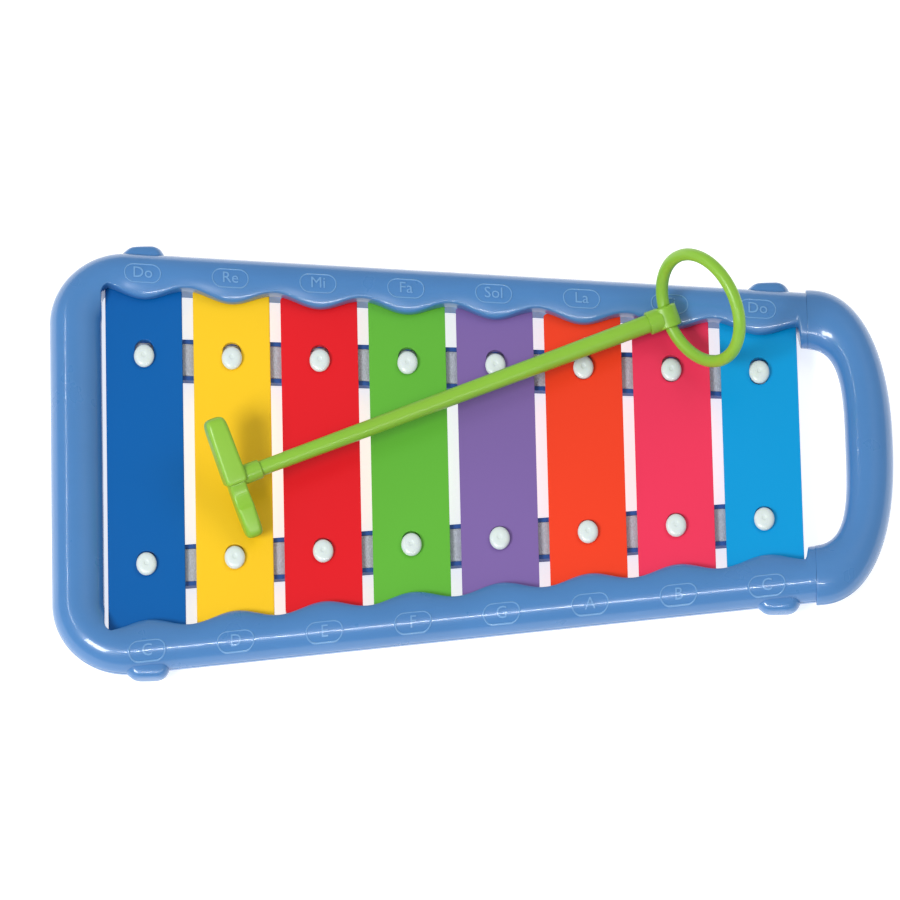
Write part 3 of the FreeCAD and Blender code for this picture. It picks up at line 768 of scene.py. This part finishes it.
def build_carrier():
    piece = add_piece("carrier_ladder", softened_mesh("carrier_ladder", "bar_carrier", 0.25), carrier_blue,
                      "frame", "carrier_blue", "bar_carrier", sharp=60)
    weigh_normals(piece)


FELT_HALF = 6.75                                 # half the strips' width
FELT_COLUMNS = 520
FELT_ROWS = 26
FELT_NAP = 0.1                                   # how far below its box's top the felt's surface is
FELT_PRESS = 0.12                                # how much deeper it is pressed under a bar
FELT_FUZZ = 0.05


def felt_height(x, y, z_low, z_high):
    """The felt's top: fuzzy, and pressed a little under each bar."""
    gap = min(abs(x - bar_x(i)) for i in range(len(BARS))) - BAR_HALF
    pressed = FELT_PRESS * (1 - smooth_step(gap / 1.6 + 0.3))
    fine = noise.noise(Vector((x * 1.9, y * 1.9, 3.0))) * FELT_FUZZ
    coarse = noise.noise(Vector((x, y, 9.0)) * 0.6) * FELT_FUZZ
    return z_high - FELT_NAP - pressed + (fine + coarse)


def felt_mesh(name, node, side):
    """A strip in its channel, slanted as the channel is, with its long edges rounded."""
    lo, hi = node_box(node)
    half = FELT_HALF
    start_y = max(abs(lo.y), abs(hi.y)) - half
    end_y = min(abs(lo.y), abs(hi.y)) + half
    rings = []
    for column in range(FELT_COLUMNS + 1):
        share = column / FELT_COLUMNS
        x = lo.x + (hi.x - lo.x) * share
        centre = start_y + (end_y - start_y) * share
        ring = []
        for row in range(FELT_ROWS + 1):
            across = -half + 2 * half * row / FELT_ROWS
            y = side * (centre + across)
            round_off = 0.35 * max(0.0, (abs(across) / half - 0.93) / 0.07) ** 2
            ring.append(Vector((x, y, felt_height(x, y, lo.z, hi.z) - round_off)))
        ring.append(Vector((x, side * (centre + half), lo.z + 0.05)))
        ring.append(Vector((x, side * (centre - half), lo.z + 0.05)))
        rings.append(ring)
    return skinned(name, rings)


def build_felt():
    for name, side in (("front", -1), ("back", 1)):
        node = "felt_" + name
        piece = add_piece("felt_strip_" + name, felt_mesh("felt_strip_" + name, node, side), grey_felt,
                          "frame", "felt_grey", node)


# ---------------------------------------------------------------- pegs, plugs and screws

HEAD_HALF_X = 4.0
HEAD_HALF_Y = 4.8
HEAD_HIGH = 2.3
SHANK_R = 2.0
PEG_STEPS = 40


def peg_rows(z_low, z_high):
    """Half widths along X and Y, and height, down a peg from the dimple in its head to its barb."""
    head = z_high - HEAD_HIGH
    rows = [(0.10, z_high - 0.34), (0.18, z_high - 0.30), (0.235, z_high - 0.12), (0.29, z_high - 0.06)]
    for k in range(1, 12):
        turn = math.radians(84 - 7.4 * k)
        rows.append((0.30 + 0.70 * math.cos(turn) ** 0.92, head + 0.55 + 1.68 * math.sin(turn)))
    rows += [(1.0, head + 0.45), (0.99, head + 0.2), (0.965, head + 0.06), (0.92, head)]
    shank = ((SHANK_R, head), (SHANK_R, z_low + 1.5), (SHANK_R + 0.5, z_low + 1.0), (SHANK_R - 0.5, z_low))
    return ([(HEAD_HALF_X * share, HEAD_HALF_Y * share, z) for share, z in rows]
            + [(radius, radius, z) for radius, z in shank])


def peg_mesh(work, x, y, z_low, z_high):
    """One peg: an oval domed head with a dimple, on a shank with a barb."""
    turns = [2 * math.pi * k / PEG_STEPS for k in range(PEG_STEPS)]
    skin(work, [[Vector((x + half_x * math.cos(turn), y + half_y * math.sin(turn), z)) for turn in turns]
                for half_x, half_y, z in peg_rows(z_low, z_high)])


def build_pegs():
    for name, side in (("front", -1), ("back", 1)):
        lo, hi = node_box("pegs_" + name)
        far = max(abs(lo.y), abs(hi.y)) - HEAD_HALF_Y
        near = min(abs(lo.y), abs(hi.y)) + HEAD_HALF_Y

        def fill(work, side=side, lo=lo, hi=hi, far=far, near=near):
            for i in range(len(BARS)):
                y = far + (near - far) * i / (len(BARS) - 1)
                peg_mesh(work, bar_x(i), side * y, lo.z, hi.z)
        add_piece("domed_pegs_" + name, new_mesh("domed_pegs_" + name, fill), white, "frame", "peg_white",
                  "pegs_" + name, sharp=55)


PLUG_STEPS = 56
PLUG_SINK = 0.15                                 # how far the foot stands inside the tube's side
PLUG_FOLLOW = 1.8                                # how far out the plug still follows the tube's roundness
# how far out from the rail's side, in mm, and how wide, as a share of the foot
PLUG_ROWS = ((-3.0, 1.0), (0.0, 1.0), (0.35, 0.99), (0.8, 0.965), (1.3, 0.92), (1.8, 0.865), (2.3, 0.81),
             (2.7, 0.75), (3.0, 0.68), (3.2, 0.6), (3.33, 0.48), (3.4, 0.32), (3.42, 0.12))


def plug_rings(x, side, half_long, half_high):
    """An oval button that flares at the tube's side and ends in a soft round face."""
    rings = []
    for out, share in PLUG_ROWS:
        ring = []
        radius = half_high * share
        straight = (half_long - half_high) * share
        follow = max(0.0, 1 - max(0.0, out) / PLUG_FOLLOW)
        for k in range(PLUG_STEPS):
            turn = 2 * math.pi * k / PLUG_STEPS
            flare = straight * max(-1.0, min(1.0, 3 * math.cos(turn)))
            place = Vector((x + flare + radius * math.cos(turn), 0, AXIS_Z + radius * math.sin(turn)))
            drop = TUBE_R - math.sqrt(max(0.0, TUBE_R ** 2 - (place.z - AXIS_Z) ** 2))
            slant = RAIL_TAPER * (place.x - x)
            place.y = side * (rail_y(x) + TUBE_R + out - (drop + slant + PLUG_SINK) * follow)
            ring.append(place)
        rings.append(ring)
    return rings


def build_plugs():
    for end in ("left", "right"):
        for name, side in (("front", -1), ("back", 1)):
            node = "side_plug_%s_%s" % (end, name)
            lo, hi = node_box(node)
            centre = (lo + hi) / 2
            mesh = skinned("plug_" + node, plug_rings(centre.x, side, (hi.x - lo.x) / 2 - 0.1,
                                                      (hi.z - lo.z) / 2 - 0.05))
            add_piece("oval_" + node, mesh, blue, "frame", "frame_blue", node)


def build_screws():
    piece = add_piece("cross_head_screws", softened_mesh("cross_head_screws", "frame_screws", 0.15), steel,
                      "frame", "screw_steel", "frame_screws", sharp=50)
    weigh_normals(piece)


# ---------------------------------------------------------------- mallet

RING_JOINT = [joint for joint in frame["joints"] if joint["name"] == "ring_swing"][0]
EYE = Vector(RING_JOINT["pos_m"]) / MM
HEAD_DIR = Vector(RING_JOINT["axis"]).normalized()
HUB = Vector((-93.1, -14.4, 25.8))              # middle of the mallet's head
SHAFT_DIR = (EYE - HUB).normalized()
ACROSS_DIR = SHAFT_DIR.cross(HEAD_DIR)
MALLET_LONG = (EYE - HUB).length
SHAFT_START = 3.0
SHAFT_STOP = MALLET_LONG - 7.9
SHAFT_R0 = 2.95
SHAFT_R1 = 3.6
SHAFT_RIDGE = 0.07
SHAFT_STEPS = 60
COLLAR_R = 3.95
COLLAR_LONG = 11.0
RING_R = 22.0
RING_STEPS = 144
WIRE_R = 2.44
WIRE_STEPS = 28
WIRE_GROOVE = 0.05                               # the moulding line on the ring's wire
RING_RAISE = 62.0                                # degrees that the ring stands up from the shaft's line


def mallet_point(s, t, w):
    """A point in the mallet's own axes: along the shaft, along the head, and across both."""
    return HUB + SHAFT_DIR * s + HEAD_DIR * t + ACROSS_DIR * w


def catmull(rows, steps):
    """Rows of numbers, filled in smoothly."""
    ends = [rows[0]] + list(rows) + [rows[-1]]
    filled = []
    for i in range(1, len(ends) - 2):
        for k in range(steps):
            u = k / steps
            filled.append([0.5 * (2 * b + (c - a) * u + (2 * a - 5 * b + 4 * c - d) * u * u
                                  + (3 * b - a - 3 * c + d) * u ** 3)
                           for a, b, c, d in zip(ends[i - 1], ends[i], ends[i + 1], ends[i + 2])])
    return filled + [list(rows[-1])]


def rounded_ring(t, half_s, low_w, high_w, corner):
    """A rounded rectangle across the head, at a place along it."""
    ring = []
    middle_w = (low_w + high_w) / 2
    half_w = (high_w - low_w) / 2
    corner = min(corner, half_s * 0.98, half_w * 0.98)
    steps = 8
    for sign_s, sign_w, start in ((1, 1, 0), (-1, 1, 90), (-1, -1, 180), (1, -1, 270)):
        for k in range(steps + 1):
            turn = math.radians(start + 90 * k / steps)
            s = sign_s * (half_s - corner) + corner * math.cos(turn)
            w = middle_w + sign_w * (half_w - corner) + corner * math.sin(turn)
            ring.append(mallet_point(s, t, w))
    return ring


# place along the head, half thickness along the shaft, lowest, highest and corner radius
BLOCK_ROWS = ((-2.27, 2.7, -3.8, 3.8, 1.2), (-2.0, 3.8, -4.9, 4.9, 1.5), (-1.2, 4.25, -5.35, 5.35, 1.5),
              (0.5, 4.38, -5.48, 5.48, 1.5), (6.0, 4.36, -5.46, 5.46, 1.6), (14.0, 4.3, -5.4, 5.4, 1.8),
              (20.0, 4.2, -5.3, 5.3, 2.0), (22.8, 3.95, -5.0, 5.0, 2.2), (24.1, 3.4, -4.3, 4.3, 2.3),
              (24.75, 2.4, -3.2, 3.2, 2.0), (24.97, 1.2, -1.8, 1.8, 1.1))
PAD_ROWS = ((-1.4, 3.4, -4.4, 4.1, 1.3), (-2.6, 3.42, -4.42, 3.95, 1.3), (-4.0, 3.44, -4.44, 3.5, 1.2),
            (-5.6, 3.45, -4.45, 3.1, 1.1), (-7.3, 3.46, -4.46, 2.95, 1.1), (-9.2, 3.47, -4.47, 3.15, 1.1),
            (-10.8, 3.48, -4.48, 3.6, 1.1), (-11.9, 3.48, -4.48, 4.15, 1.2), (-12.5, 3.48, -4.48, 4.42, 1.4),
            (-14.5, 3.48, -4.48, 4.46, 1.6), (-19.0, 3.45, -4.45, 4.4, 1.9), (-21.8, 3.35, -4.3, 4.2, 2.1),
            (-23.3, 3.0, -3.9, 3.7, 2.1), (-24.1, 2.2, -2.9, 2.7, 1.8), (-24.37, 1.2, -1.6, 1.4, 1.0))


def round_section(s, radius, ridge=0.0):
    """A circle across the shaft, with a faint moulding ridge on two sides."""
    steps = 56
    ring = []
    for k in range(steps):
        turn = 2 * math.pi * k / steps
        lift = ridge if k % (steps // 2) == 0 else 0.0
        ring.append(mallet_point(s, (radius + lift) * math.cos(turn), (radius + lift) * math.sin(turn)))
    return ring


def build_mallet():
    def head(work):
        for rows in (BLOCK_ROWS, PAD_ROWS):
            skin(work, [rounded_ring(*row) for row in catmull(rows, 5)])
        collar = [(0.5, COLLAR_R), (COLLAR_LONG - 0.55, COLLAR_R - 0.1),
                  (COLLAR_LONG - 0.18, COLLAR_R - 0.25), (COLLAR_LONG, COLLAR_R - 0.6),
                  (COLLAR_LONG, SHAFT_R0 + 0.15)]
        skin(work, [round_section(s, radius) for s, radius in collar])

    def shaft(work):
        rings = []
        for k in range(SHAFT_STEPS + 1):
            share = k / SHAFT_STEPS
            rings.append(round_section(SHAFT_START + (SHAFT_STOP - SHAFT_START) * share,
                                       SHAFT_R0 + (SHAFT_R1 - SHAFT_R0) * share, SHAFT_RIDGE))
        skin(work, rings)

    def ring(work):
        raise_turn = math.radians(RING_RAISE)
        spoke = SHAFT_DIR * math.cos(raise_turn) + ACROSS_DIR * math.sin(raise_turn)
        normal = spoke.cross(HEAD_DIR)
        centre = EYE + spoke * RING_R
        rings = []
        for i in range(RING_STEPS):
            turn = 2 * math.pi * i / RING_STEPS
            out = spoke * math.cos(turn) + HEAD_DIR * math.sin(turn)
            loop = []
            for k in range(WIRE_STEPS):
                twist = 2 * math.pi * k / WIRE_STEPS
                wire = WIRE_R - (WIRE_GROOVE if k % (WIRE_STEPS // 2) == 0 else 0.0)
                loop.append(centre + out * (RING_R + wire * math.cos(twist))
                            + normal * wire * math.sin(twist))
            rings.append(loop)
        skin(work, rings, True)

    for name, fill, body, node in (("mallet_t_head", head, "mallet", "mallet_head"),
                                   ("mallet_rod", shaft, "mallet", "mallet_shaft"),
                                   ("mallet_hoop", ring, "ring", "mallet_ring")):
        add_piece(name, new_mesh(name, fill), green, body, "mallet_green", node, sharp=45)
    piece = add_piece("mallet_knuckle", softened_mesh("mallet_knuckle", "mallet_eye", 0.35), green, "mallet",
                      "mallet_green", "mallet_eye", sharp=50)
    weigh_normals(piece)


# ---------------------------------------------------------------- camera, light and floor

CAMERA_TILT = 68.0                               # degrees above the horizon
CAMERA_ROLL = 1.316
CAMERA_FAR = 4.323                               # metres from the point it looks at
CAMERA_LENS = 438.6
CAMERA_AIM = Vector((0, 0, -0.00565))
CAMERA_SLIDE = (-0.00873, 0.00737)               # metres in the picture's plane, to the right and up
WORLD_LIGHT = 0.42
FLOOR_HALF = 3000                                # mm
FLOOR_TONES = ((0.6, 0.6, 0.6, 1), (0.64, 0.64, 0.64, 1))
FLOOR_GLOW = 0.75                                # keeps the floor near white, as in a light tent


def build_camera():
    tilt = math.radians(CAMERA_TILT)
    roll = math.radians(CAMERA_ROLL)
    back = Vector((0, -math.cos(tilt), math.sin(tilt)))
    level_right = Vector((1, 0, 0))
    level_up = Vector((0, math.sin(tilt), math.cos(tilt)))
    right = level_right * math.cos(roll) - level_up * math.sin(roll)
    up = level_right * math.sin(roll) + level_up * math.cos(roll)
    place = CAMERA_AIM + back * CAMERA_FAR + right * CAMERA_SLIDE[0] + up * CAMERA_SLIDE[1]
    data = bpy.data.cameras.new("camera")
    data.lens = CAMERA_LENS
    data.sensor_width = 36.0
    data.clip_end = 50
    camera = bpy.data.objects.new("camera", data)
    camera.matrix_world = Matrix((right, up, back)).transposed().to_4x4()
    camera.location = place
    bpy.context.scene.collection.objects.link(camera)
    bpy.context.scene.camera = camera


def area_light(name, place, aim, wide, tall, power):
    """A soft rectangular light, in metres, that faces a point."""
    data = bpy.data.lights.new(name, "AREA")
    data.shape = "RECTANGLE"
    data.size = wide
    data.size_y = tall
    data.energy = power
    lamp = bpy.data.objects.new(name, data)
    lamp.location = place
    lamp.rotation_euler = (Vector(aim) - Vector(place)).to_track_quat("-Z", "Y").to_euler()
    bpy.context.scene.collection.objects.link(lamp)
    return lamp


def streak_light(name, place, aim, wide, tall, power):
    """A thin light that shows only as a streak on glossy surfaces."""
    lamp = area_light(name, place, aim, wide, tall, power)
    lamp.visible_camera = False
    lamp.visible_diffuse = False


def build_stage():
    world = bpy.data.worlds.new("studio")
    world.use_nodes = True
    world.node_tree.nodes["Background"].inputs["Color"].default_value = (1, 1, 1, 1)
    world.node_tree.nodes["Background"].inputs["Strength"].default_value = WORLD_LIGHT
    bpy.context.scene.world = world
    bpy.context.scene.view_settings.view_transform = "Standard"
    area_light("key", (-1.0, -0.8, 1.5), (0, 0, 0), 0.7, 0.5, 24)
    area_light("fill", (0.9, 0.6, 1.6), (0, 0, 0), 1.2, 1.0, 7).visible_glossy = False
    streak_light("front streak", (0, -0.17, 0.2), (0, 0, 0), 0.34, 0.005, 0.32)
    streak_light("left streak", (-0.47, 0.105, 0.4), (-0.156, 0.105, 0), 0.39, 0.008, 0.36)

    def grid(work):
        bmesh.ops.create_grid(work, x_segments=40, y_segments=40, size=FLOOR_HALF)
    mesh = new_mesh("floor", grid)
    paper = Shader("floor_paper")
    tone = paper.mix(paper.noise(3, 2), *FLOOR_TONES)
    mesh.materials.append(paper.done(Base_Color=tone, Roughness=0.9, Emission_Color=(1.0, 1.0, 1.0, 1.0),
                                     Emission_Strength=FLOOR_GLOW))
    floor = bpy.data.objects.new("floor", mesh)
    bpy.context.scene.collection.objects.link(floor)


build_camera()
build_frame()
build_handle()
build_tags()
build_bars()
build_carrier()
build_felt()
build_pegs()
build_plugs()
build_screws()
build_mallet()
build_stage()
